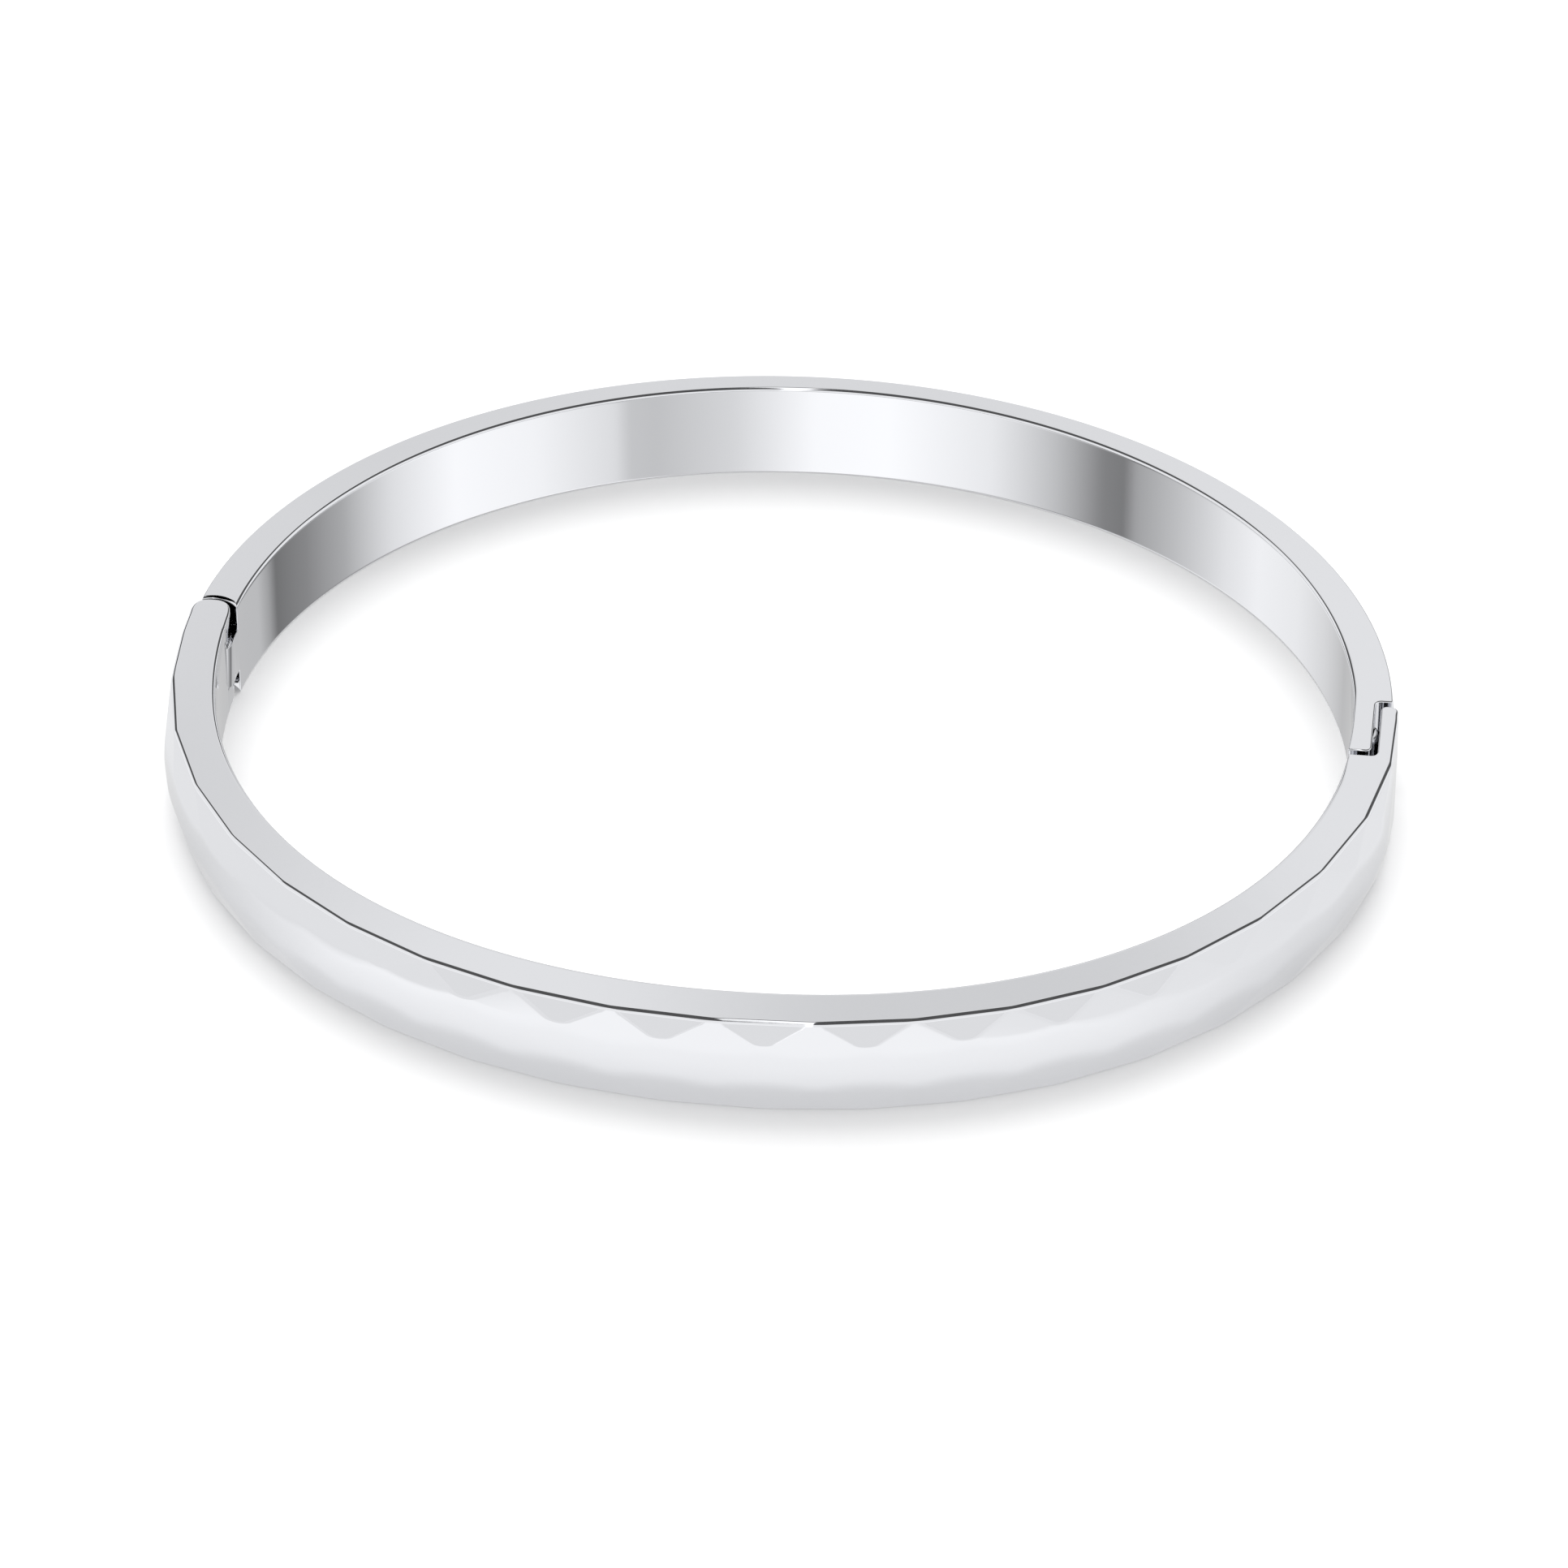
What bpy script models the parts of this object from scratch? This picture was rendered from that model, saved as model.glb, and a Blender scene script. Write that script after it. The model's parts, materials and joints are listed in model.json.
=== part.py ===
"""Hinged oval bangle bracelet in polished steel, lying flat.

The front half (-Y) is diamond cut on its outside and the rear half (+Y) is plain. A pin at -X
joins them in a three-knuckle hinge: two ears on the front half and one tongue on the rear half.
At +X they close in a half lap, the rear half's lip inside the front half's, and a small bar on
the rear lip snaps into a groove in the front one.

Metres, +Z up, origin at the bottom centre. The bracelet is modelled closed.
"""
import math

import bmesh
import bpy
import numpy as np

MM = 0.001

# The band: an oval with its own depth to the front and to the rear.
HEIGHT = 5.6 * MM
INNER_HALF_WIDTH = 29.1 * MM
FRONT_INNER_DEPTH = 24.4 * MM
REAR_INNER_DEPTH = 25.1 * MM
FRONT_OUTER_HALF_WIDTH = 31.15 * MM
FRONT_OUTER_DEPTH = 26.75 * MM
REAR_OUTER_HALF_WIDTH = 30.9 * MM
REAR_OUTER_DEPTH = 26.3 * MM
FRONT_INNER_POWER = 2.12
FRONT_OUTER_POWER = 2.08
REAR_POWER = 2.0
REAR_CROWN = 0.2 * MM
INNER_STEPS = 64
REAR_STEPS = 72

# The diamond cut: four rows of corners, each half a pitch along from the one above.
FACET_PITCH = 4.78 * MM
FACET_PHASE = -0.5 * MM
FACETS_EACH_SIDE = 11
UPPER_ROW_Z = 4.4 * MM
LOWER_ROW_Z = 1.5 * MM
FACET_BULGE = 0.4 * MM
BULGE_FADE = 6.0 * MM
BULGE_END = 46.5 * MM

# The hinge, about a pin parallel to Z. Both knuckles share one radius.
PIN_X = -29.98 * MM
PIN_Y = 2.45 * MM
PIN_RADIUS = 0.42 * MM
PIN_LENGTH = HEIGHT - 0.2 * MM
PIN_HOLE_RADIUS = 0.48 * MM
KNUCKLE_RADIUS = 1.03 * MM
SEAT_RADIUS = 1.36 * MM
TONGUE_HEIGHT = 2.6 * MM
LEAF_GAP = 0.12 * MM

# The clasp: flat lap faces at right angles to X, and ends at right angles to Y.
REAR_LIP_FACE_X = 30.03 * MM
FRONT_LIP_FACE_X = 30.43 * MM
REAR_SHOULDER_Y = 1.65 * MM
FRONT_LIP_END_Y = 1.3 * MM
REAR_LIP_END_Y = -2.4 * MM
FRONT_SEAT_Y = -2.75 * MM

# The snap bar, let into the rear lip and rounded where it meets the front lip.
SNAP_Y = -0.6 * MM
SNAP_HEIGHT = 3.4 * MM
SNAP_WIDTH = 1.3 * MM
SNAP_ROOT = 0.3 * MM
SNAP_PROUD = 0.46 * MM
SNAP_CROWN = 0.3 * MM
SNAP_FIT = 0.05 * MM
GROOVE_FIT = 0.1 * MM

STEEL_COLOUR = (0.80, 0.80, 0.82, 1.0)
PIN_COLOUR = (0.62, 0.62, 0.65, 1.0)
CLEAR = 4 * MM


def empty_scene():
    for thing in list(bpy.data.objects):
        bpy.data.objects.remove(thing)


def add_collection(name):
    collection = bpy.data.collections.new(name)
    bpy.context.scene.collection.children.link(collection)
    return collection


def add_material(name, colour, roughness):
    material = bpy.data.materials.new(name)
    material.use_nodes = True
    shader = material.node_tree.nodes["Principled BSDF"]
    shader.inputs["Base Color"].default_value = colour
    shader.inputs["Metallic"].default_value = 1.0
    shader.inputs["Roughness"].default_value = roughness
    return material


def add_object(name, bm, collection, material=None):
    bmesh.ops.recalc_face_normals(bm, faces=bm.faces)
    mesh = bpy.data.meshes.new(name)
    bm.to_mesh(mesh)
    bm.free()
    thing = bpy.data.objects.new(name, mesh)
    collection.objects.link(thing)
    if material:
        mesh.materials.append(material)
    else:
        thing.hide_render = True
        thing.display_type = "WIRE"
    return thing


def oval_point(angle, half_width, depth, power):
    """Point of a superellipse in the direction of angle."""
    along = abs(math.cos(angle)) / half_width
    across = abs(math.sin(angle)) / depth
    radius = (along ** power + across ** power) ** (-1 / power)
    return radius * math.cos(angle), radius * math.sin(angle)


def angles_at_arcs(arcs, half_width, depth, power):
    """Directions of the points at these arc lengths from the oval's front middle."""
    fine = np.linspace(-1.2 * math.pi, 0.2 * math.pi, 2000)
    points = np.array([oval_point(angle, half_width, depth, power) for angle in fine])
    steps = np.hypot(*np.diff(points, axis=0).T)
    lengths = np.concatenate([[0.0], np.cumsum(steps)])
    lengths -= np.interp(-math.pi / 2, fine, lengths)
    return np.interp(arcs, lengths, fine)


def bulge_at(arc):
    """How far the facet corners between the rims stand out, fading at both ends of the half."""
    reach = (BULGE_END - abs(arc)) / BULGE_FADE
    return FACET_BULGE * min(1.0, max(0.0, reach))


def facet_row(bm, z, shift, count, bulging):
    """One row of facet corners along the front half."""
    first = FACET_PHASE - FACETS_EACH_SIDE * FACET_PITCH + shift
    arcs = [first + step * FACET_PITCH for step in range(count)]
    outline = (FRONT_OUTER_HALF_WIDTH, FRONT_OUTER_DEPTH, FRONT_OUTER_POWER)
    row = []
    for arc, angle in zip(arcs, angles_at_arcs(arcs, *outline)):
        x, y = oval_point(angle, *outline)
        stretch = 1 + (bulge_at(arc) if bulging else 0.0) / math.hypot(x, y)
        row.append(bm.verts.new((x * stretch, y * stretch, z)))
    return row


def stitch(bm, longer, shorter):
    """Triangles between two rows, where the shorter row's corners lie between the longer's."""
    for index, corner in enumerate(shorter):
        bm.faces.new((longer[index], longer[index + 1], corner))
    for index in range(len(shorter) - 1):
        bm.faces.new((shorter[index], shorter[index + 1], longer[index + 1]))


def front_blank(collection, material):
    bm = bmesh.new()
    many = 2 * FACETS_EACH_SIDE + 1
    half = FACET_PITCH / 2
    top = facet_row(bm, HEIGHT, 0.0, many, False)
    upper = facet_row(bm, UPPER_ROW_Z, half, many - 1, True)
    lower = facet_row(bm, LOWER_ROW_Z, 0.0, many, True)
    bottom = facet_row(bm, 0.0, half, many - 1, False)
    stitch(bm, top, upper)
    stitch(bm, lower, upper)
    stitch(bm, lower, bottom)

    start = math.atan2(top[0].co.y, top[0].co.x) - 2 * math.pi
    end = math.atan2(top[-1].co.y, top[-1].co.x)
    inner_top, inner_bottom = [], []
    for angle in np.linspace(start, end, INNER_STEPS + 1):
        x, y = oval_point(angle, INNER_HALF_WIDTH, FRONT_INNER_DEPTH, FRONT_INNER_POWER)
        inner_top.append(bm.verts.new((x, y, HEIGHT)))
        inner_bottom.append(bm.verts.new((x, y, 0.0)))
    for step in range(INNER_STEPS):
        bm.faces.new((inner_top[step], inner_top[step + 1], inner_bottom[step + 1], inner_bottom[step]))
    bm.faces.new(top + inner_top[::-1])
    bm.faces.new(bottom + inner_bottom[::-1])
    for end_index in (0, -1):
        hub = inner_top[end_index]
        fan = [row[end_index] for row in (inner_bottom, bottom, lower, upper, top)]
        for first, second in zip(fan, fan[1:]):
            bm.faces.new((hub, first, second))
    return add_object("front_half", bm, collection, material)


def rear_blank(collection, material):
    bm = bmesh.new()
    start = math.radians(-12)
    end = math.radians(192)
    outline = (REAR_OUTER_HALF_WIDTH, REAR_OUTER_DEPTH, REAR_POWER)
    sections = []
    for angle in np.linspace(start, end, REAR_STEPS + 1):
        inner_x, inner_y = oval_point(angle, INNER_HALF_WIDTH, REAR_INNER_DEPTH, REAR_POWER)
        outer_x, outer_y = oval_point(angle, *outline)
        crown = 1 + REAR_CROWN / math.hypot(outer_x, outer_y)
        loop = [(inner_x, inner_y, 0.0), (outer_x, outer_y, 0.0),
                (outer_x * crown, outer_y * crown, HEIGHT / 2),
                (outer_x, outer_y, HEIGHT), (inner_x, inner_y, HEIGHT)]
        sections.append([bm.verts.new(point) for point in loop])
    for near, far in zip(sections, sections[1:]):
        for index in range(len(near)):
            bm.faces.new((near[index - 1], near[index], far[index], far[index - 1]))
    bm.faces.new(sections[0])
    bm.faces.new(sections[-1])
    return add_object("rear_half", bm, collection, material)


def prism(name, outline, low, high, collection, material=None):
    """A flat outline pulled up from one height to another."""
    bm = bmesh.new()
    face = bm.faces.new([bm.verts.new((x, y, low)) for x, y in outline])
    pulled = bmesh.ops.extrude_face_region(bm, geom=[face])
    raised = [item for item in pulled["geom"] if isinstance(item, bmesh.types.BMVert)]
    bmesh.ops.translate(bm, verts=raised, vec=(0.0, 0.0, high - low))
    return add_object(name, bm, collection, material)


def block(name, x_range, y_range, collection):
    """A cutting block through the whole height of the band."""
    outline = [(x_range[0], y_range[0]), (x_range[1], y_range[0]),
               (x_range[1], y_range[1]), (x_range[0], y_range[1])]
    return prism(name, outline, -CLEAR, HEIGHT + CLEAR, collection)


def arc_points(centre_x, centre_y, radius, start, end, steps):
    angles = np.linspace(start, end, steps + 1)
    return [(centre_x + radius * math.cos(angle), centre_y + radius * math.sin(angle))
            for angle in angles]


def cylinder(name, radius, low, high, collection, material=None):
    """A round solid on the hinge axis."""
    bm = bmesh.new()
    bmesh.ops.create_cone(bm, cap_ends=True, segments=40, radius1=radius, radius2=radius,
                          depth=high - low)
    thing = add_object(name, bm, collection, material)
    thing.location = (PIN_X, PIN_Y, (low + high) / 2)
    return thing


def knuckle_trim(name, side, collection):
    """Cuts away what lies past the hinge axis on one side (+1 or -1 in Y), outside the knuckle."""
    reach = 12 * MM
    edge_y = PIN_Y + side * reach
    outline = [(PIN_X - CLEAR, PIN_Y), (PIN_X - CLEAR, edge_y), (PIN_X + CLEAR, edge_y),
               (PIN_X + CLEAR, PIN_Y)]
    outline += arc_points(PIN_X, PIN_Y, KNUCKLE_RADIUS, 0.0, side * math.pi, 24)
    return prism(name, outline, -CLEAR, HEIGHT + CLEAR, collection)


def snap_outline(root, proud, width, crown):
    """Plan of the snap bar or of a pocket for it, rounded on its outer side."""
    face = REAR_LIP_FACE_X + proud
    half = width / 2
    radius = (half ** 2 + crown ** 2) / (2 * crown)
    spread = math.asin(half / radius)
    outline = [(REAR_LIP_FACE_X - root, SNAP_Y + half), (REAR_LIP_FACE_X - root, SNAP_Y - half)]
    return outline + arc_points(face - radius, SNAP_Y, radius, -spread, spread, 10)


def cut(target, *cutters):
    for cutter in cutters:
        step = target.modifiers.new("cut_" + cutter.name, "BOOLEAN")
        step.operation = "DIFFERENCE"
        step.solver = "EXACT"
        step.object = cutter


def cut_hinge(front, rear, cutters):
    middle = HEIGHT / 2
    half_tongue = TONGUE_HEIGHT / 2
    hole = cylinder("pin_hole_cutter", PIN_HOLE_RADIUS, -CLEAR, HEIGHT + CLEAR, cutters)
    pocket = cylinder("tongue_pocket_cutter", SEAT_RADIUS, middle - half_tongue - LEAF_GAP,
                      middle + half_tongue + LEAF_GAP, cutters)
    upper = cylinder("upper_ear_cutter", SEAT_RADIUS, middle + half_tongue, HEIGHT + CLEAR, cutters)
    lower = cylinder("lower_ear_cutter", SEAT_RADIUS, -CLEAR, middle - half_tongue, cutters)
    cut(front, knuckle_trim("front_knuckle_cutter", 1, cutters), pocket, hole)
    cut(rear, knuckle_trim("rear_knuckle_cutter", -1, cutters), upper, lower, hole)


def cut_clasp(front, rear, cutters):
    inside = INNER_HALF_WIDTH - CLEAR
    outside = FRONT_OUTER_HALF_WIDTH + CLEAR
    far = 12 * MM
    cut(front,
        block("front_end_cutter", (inside, outside), (FRONT_LIP_END_Y, far), cutters),
        block("front_lap_cutter", (inside, FRONT_LIP_FACE_X), (FRONT_SEAT_Y, far), cutters))
    cut(rear,
        block("rear_end_cutter", (inside, outside), (-far, REAR_LIP_END_Y), cutters),
        block("rear_lap_cutter", (REAR_LIP_FACE_X, outside), (-far, REAR_SHOULDER_Y), cutters))


def add_snap(front, rear, parts, cutters, material):
    low = (HEIGHT - SNAP_HEIGHT) / 2
    high = low + SNAP_HEIGHT
    prism("snap_bar", snap_outline(SNAP_ROOT, SNAP_PROUD, SNAP_WIDTH, SNAP_CROWN), low, high,
          parts, material)
    slot = snap_outline(SNAP_ROOT + SNAP_FIT, SNAP_PROUD, SNAP_WIDTH + 2 * SNAP_FIT, SNAP_CROWN)
    groove = snap_outline(0.0, SNAP_PROUD + GROOVE_FIT, SNAP_WIDTH + 2 * GROOVE_FIT, SNAP_CROWN)
    cut(rear, prism("snap_slot_cutter", slot, low - SNAP_FIT, high + SNAP_FIT, cutters))
    cut(front, prism("snap_groove_cutter", groove, low - GROOVE_FIT, high + GROOVE_FIT, cutters))


def main():
    empty_scene()
    parts = add_collection("bangle_bracelet")
    cutters = add_collection("bangle_bracelet_cutters")
    steel = add_material("polished_steel", STEEL_COLOUR, 0.08)
    pin_steel = add_material("pin_steel", PIN_COLOUR, 0.2)

    front = front_blank(parts, steel)
    rear = rear_blank(parts, steel)
    cut_hinge(front, rear, cutters)
    cut_clasp(front, rear, cutters)
    add_snap(front, rear, parts, cutters, pin_steel)
    pin_base = (HEIGHT - PIN_LENGTH) / 2
    pin = cylinder("hinge_pin", PIN_RADIUS, pin_base, pin_base + PIN_LENGTH, parts, pin_steel)

    hinge = bpy.data.objects.new("hinge_axis", None)
    parts.objects.link(hinge)
    hinge.location = (PIN_X, PIN_Y, HEIGHT / 2)
    bpy.context.view_layer.update()
    front_cutters = [step.object for step in front.modifiers]
    for thing in [front, pin] + front_cutters:
        thing.parent = hinge
        thing.matrix_parent_inverse = hinge.matrix_world.inverted()


main()
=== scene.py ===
"""Looks of the hinged oval bangle: mirror-polished steel on a white studio table.

Fine meshes replace three of the frame's pieces: the diamond-cut front half with its hinge ears
and outer clasp lip, the plain rear half with its hinge tongue and inner clasp lip, and the snap
bar. They differ a little from the CAD, and the snap bar is taller than there. The hinge pin stays
as it is, with a new material. Metres, +Z up.
"""

import json
import math

import bmesh
import bpy
import numpy as np
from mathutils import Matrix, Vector

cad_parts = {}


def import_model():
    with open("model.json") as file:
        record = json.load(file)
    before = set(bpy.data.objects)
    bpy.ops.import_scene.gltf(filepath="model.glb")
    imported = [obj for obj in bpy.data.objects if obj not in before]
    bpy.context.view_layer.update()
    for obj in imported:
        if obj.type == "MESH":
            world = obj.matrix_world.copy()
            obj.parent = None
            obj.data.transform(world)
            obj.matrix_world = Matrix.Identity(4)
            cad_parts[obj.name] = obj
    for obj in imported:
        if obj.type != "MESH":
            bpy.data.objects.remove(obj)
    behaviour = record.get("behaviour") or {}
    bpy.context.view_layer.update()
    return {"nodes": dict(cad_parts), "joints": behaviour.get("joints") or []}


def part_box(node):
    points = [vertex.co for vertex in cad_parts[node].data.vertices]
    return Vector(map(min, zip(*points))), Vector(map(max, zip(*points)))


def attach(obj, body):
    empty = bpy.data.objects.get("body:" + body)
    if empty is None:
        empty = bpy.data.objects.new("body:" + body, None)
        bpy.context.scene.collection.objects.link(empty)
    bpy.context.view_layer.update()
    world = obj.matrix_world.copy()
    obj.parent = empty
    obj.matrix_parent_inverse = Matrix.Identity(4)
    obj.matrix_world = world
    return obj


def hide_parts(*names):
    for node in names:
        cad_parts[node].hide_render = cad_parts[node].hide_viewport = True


MM = 0.001

# The band, as in the frame: an oval with its own depth to the front and to the rear.
# Each oval is its half width, its depth and its power.
FRONT_INNER = (29.05 * MM, 24.4 * MM, 2.12)
FRONT_OUTER = (31.35 * MM, 26.75 * MM, 2.08)
REAR_INNER = (28.98 * MM, 25.1 * MM, 2.0)
REAR_OUTER = (30.98 * MM, 26.3 * MM, 2.0)
REAR_CROWN = 0.2 * MM

# The diamond cut. Its corners lie on the top rim at every pitch and on the bottom rim between.
PITCH = 4.785 * MM
PHASE = -0.24 * MM
CUTS_EACH_SIDE = 11
DRIFT = 1.2 * MM
DRIFT_MIDDLE = -3.3  # in pitches from the front middle
DRIFT_WIDTH = 3.2  # in pitches
TOP_CUT_DEPTH = 1.45 * MM
BOTTOM_CUT_HEIGHT = 1.7 * MM
BULGE = 0.52 * MM
BELLY = 0.5 * MM
BULGE_FADE = 6.0 * MM
BULGE_END = 46.5 * MM
TOP_CREASE = 0.02 * MM
RIDGE_ROUND = 0.07 * MM
BELLY_ROUND = 0.10 * MM
BOTTOM_CREASE = 0.045 * MM
FAR_OUT = 9.0 * MM
REACH_IN_PITCHES = 1.6

# The hinge.
KNUCKLE_RADIUS = 1.27 * MM
KNUCKLE_POWER = 2.7
EAR_THINNING = 0.09 * MM
EAR_THINNING_Y = (-3.5 * MM, 2.5 * MM)
SEAT_RADIUS = 1.36 * MM
TONGUE_HEIGHT = 2.6 * MM
LEAF_GAP = 0.12 * MM

# The clasp: flat lap faces at right angles to X, and ends at right angles to Y.
REAR_LIP_FACE_X = 30.05 * MM
FRONT_LIP_FACE_X = 30.36 * MM
REAR_SHOULDER_Y = 1.65 * MM
FRONT_LIP_END_Y = 1.3 * MM
REAR_LIP_END_Y = -2.4 * MM
FRONT_SEAT_Y = -2.75 * MM
LAP_CORNER = 0.3 * MM
TIP_CORNER = 0.3 * MM
OUTER_TIP_CORNER = 0.4 * MM
SMALL_CORNER = 0.08 * MM

# The snap bar on the rear lip, and its groove in the front one.
SNAP_Y = -0.35 * MM
SNAP_HEIGHT = 4.6 * MM
SNAP_WIDTH = 1.3 * MM
SNAP_ROOT = 0.3 * MM
SNAP_PROUD = 0.4 * MM
SNAP_CROWN = 0.3 * MM
GROOVE_FIT = 0.1 * MM
SNAP_ROUND = 0.26 * MM

# Edge rounding, and the fineness of the meshes.
RIM_ROUND = 0.2 * MM
CUT_RIM_ROUND = 0.16 * MM
REAR_OUTER_ROUND = 0.05 * MM
SEAT_ROUND = 0.16 * MM
EAR_ROUND = 0.16 * MM
END_ROUND = 0.08 * MM
LEAF_ROUND = 0.05 * MM
HOLD = 0.02 * MM
EDGE_STEPS = 6
CORNER_STEPS = 6
LOOP_REACH = 18
COLUMNS_PER_PITCH = 56
COLUMNS_PER_INNER = 4
REAR_COLUMNS = 320
CROWN_SHARES = np.linspace(0.08, 0.92, 13)
CUT_ROWS = ((0.3, 2.0, 0.07), (2.06, 4.1, 0.12), (4.14, 5.3, 0.045))  # start, end, step in mm
SEAT_STEPS = 30
WALL_POINTS = 9
EASE_WIDTH = 9
OVAL_STEPS = 4000
END_MARGIN = math.radians(0.4)
WELD = 0.0005 * MM
SMOOTH_ANGLE = math.radians(32)


# ---------------------------------------------------------------- plan curves

def oval_points(angles, oval):
    """Points of a superellipse in the given directions."""
    half_width, depth, power = oval
    along = np.abs(np.cos(angles)) / half_width
    across = np.abs(np.sin(angles)) / depth
    radius = (along ** power + across ** power) ** (-1 / power)
    return np.stack([radius * np.cos(angles), radius * np.sin(angles)], axis=-1)


def angles_at_arcs(arcs, oval):
    """Directions of the points at these arc lengths from the oval's front middle."""
    fine = np.linspace(-1.2 * math.pi, 0.2 * math.pi, OVAL_STEPS)
    steps = np.hypot(*np.diff(oval_points(fine, oval), axis=0).T)
    lengths = np.concatenate([[0.0], np.cumsum(steps)])
    lengths -= np.interp(-math.pi / 2, fine, lengths)
    return np.interp(arcs, lengths, fine)


def arc_at_angle(angle, oval):
    """Arc length from the oval's front middle of its point in a direction."""
    fine = np.linspace(-math.pi / 2, angle, OVAL_STEPS)
    length = np.hypot(*np.diff(oval_points(fine, oval), axis=0).T).sum()
    return math.copysign(length, angle + math.pi / 2)


def angle_at_y(y, side, oval):
    """Direction, within half a turn of the front middle, of the oval's point at y on one side."""
    half_width, depth, power = oval
    x = side * half_width * (1 - (abs(y) / depth) ** power) ** (1 / power)
    angle = math.atan2(y, x)
    return angle - 2 * math.pi if angle > math.pi / 2 else angle


def angle_on_circle(centre, radius, oval, side, above):
    """Direction of the oval's point on a circle, on the upper or lower part of the circle."""
    heights = centre[1] + above * np.linspace(0, radius, 400)
    angles = np.array([angle_at_y(y, side, oval) for y in heights])
    gaps = np.hypot(*(oval_points(angles, oval) - centre).T) - radius
    return float(np.interp(0, gaps, angles))


def line(start, end, count):
    """Points from start to end."""
    share = np.linspace(0, 1, count + 1)[:, None]
    return np.array(start) * (1 - share) + np.array(end) * share


def arc(centre, radius, start, end, count):
    angles = np.linspace(start, end, count + 1)
    return np.array(centre) + radius * np.stack([np.cos(angles), np.sin(angles)], axis=-1)


def fillet(before, corner, after, radius, count=CORNER_STEPS):
    """Arc that rounds the corner between two straight legs."""
    corner = np.array(corner)
    first = np.array(before) - corner
    second = np.array(after) - corner
    first = first / np.hypot(*first)
    second = second / np.hypot(*second)
    half = math.acos(first @ second) / 2
    bisector = (first + second) / np.hypot(*(first + second))
    centre = corner + bisector * radius / math.sin(half)
    reach = radius / math.tan(half)
    start_x, start_y = corner + first * reach - centre
    end_x, end_y = corner + second * reach - centre
    start = math.atan2(start_y, start_x)
    turn = math.atan2(end_y, end_x) - start
    turn = (turn + math.pi) % (2 * math.pi) - math.pi
    return arc(centre, radius, start, start + turn, count)


def resample(path, count):
    """The same path with count points, evenly spread."""
    steps = np.hypot(*np.diff(path, axis=0).T)
    lengths = np.concatenate([[0.0], np.cumsum(steps)])
    wanted = np.linspace(0, lengths[-1], count)
    return np.stack([np.interp(wanted, lengths, path[:, axis]) for axis in (0, 1)], axis=-1)


def outward(points):
    """Outward normals of a closed outline that runs anticlockwise."""
    along = np.roll(points, -1, axis=0) - np.roll(points, 1, axis=0)
    normals = np.stack([along[:, 1], -along[:, 0]], axis=-1)
    return normals / np.linalg.norm(normals, axis=1, keepdims=True)


def eased(values, width):
    """Values along a closed outline, averaged over their neighbours."""
    kernel = np.hanning(width + 2)[1:-1]
    padded = np.concatenate([values[-width:], values, values[:width]])
    return np.convolve(padded, kernel / kernel.sum(), mode="same")[width:-width]


# ---------------------------------------------------------------- the diamond cut

def soft_min(first, second, width):
    """The lower of two surfaces, blended where they are closer than width."""
    near = np.clip(1 - np.abs(first - second) / width, 0, None)
    return np.minimum(first, second) - near * near * width / 4


def bulge_share(arcs):
    """1 along the cut stretch, fading to 0 at the hinge and at the clasp."""
    return np.clip((BULGE_END - np.abs(arcs)) / BULGE_FADE, 0, 1)


def plane_through(first, second, third):
    normal = np.cross(second - first, third - first)
    return normal, normal @ first


def oval_point_3d(length, z, out):
    """Point of the front half's oval at an arc length, moved outwards."""
    xy = oval_points(angles_at_arcs(length, FRONT_OUTER), FRONT_OUTER)
    xy = xy * (1 + out / np.hypot(*xy))
    return np.array([xy[0], xy[1], z])


def corner_arc(number):
    """Arc length of a corner on the top rim. The cuts drift a little from even spacing."""
    drift = DRIFT * math.exp(-((number - DRIFT_MIDDLE) / DRIFT_WIDTH) ** 2)
    return PHASE + number * PITCH - drift


def tip_cut(left_arc, right_arc, rim_z, tip_z):
    """Plane through two corners on a rim and the tip between them, at the full bulge."""
    middle = (left_arc + right_arc) / 2
    left = oval_point_3d(left_arc, rim_z, 0.0)
    right = oval_point_3d(right_arc, rim_z, 0.0)
    upright = (left + right) / 2
    upright[2] = tip_z
    tip = oval_point_3d(middle, tip_z, BULGE)
    return plane_through(left, right, upright + (tip - upright) * bulge_share(middle))


def neck_cut(corner, tip_arcs, rim_z, tip_z):
    """Plane through one corner on a rim and the two tips beside it."""
    peak = oval_point_3d(corner, rim_z, 0.0)
    sides = []
    for tip_arc in tip_arcs:
        tip = oval_point_3d(tip_arc, tip_z, BULGE)
        upright = oval_point_3d(tip_arc, tip_z, 0.0)
        sides.append(upright + (tip - upright) * bulge_share(corner))
    if bulge_share(corner) == 0:
        lean = (sides[0] + sides[1]) / 2 - peak
        sides = [side - np.array([lean[0], lean[1], 0.0]) for side in sides]
    return plane_through(peak, *sides)


def diamond_planes(height):
    """For each pitch: its place, and its top, upper neck, bottom and lower neck planes."""
    upper_z = height - TOP_CUT_DEPTH
    planes = []
    for number in range(-CUTS_EACH_SIDE, CUTS_EACH_SIDE + 1):
        before, corner, after = [corner_arc(number + step) for step in (-1, 0, 1)]
        tip_before, tip_after = (before + corner) / 2, (corner + after) / 2
        planes.append((corner,
                       tip_cut(corner, after, height, upper_z),
                       neck_cut(corner, (tip_before, tip_after), height, upper_z),
                       tip_cut(tip_before, tip_after, 0.0, BOTTOM_CUT_HEIGHT),
                       neck_cut(tip_after, (corner, after), 0.0, BOTTOM_CUT_HEIGHT)))
    return planes


def plane_height(plane, xy, out, z):
    """How far along out from xy the plane is at height z."""
    normal, offset = plane
    return (offset - xy @ normal[:2] - z * normal[2]) / (out @ normal[:2])


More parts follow.
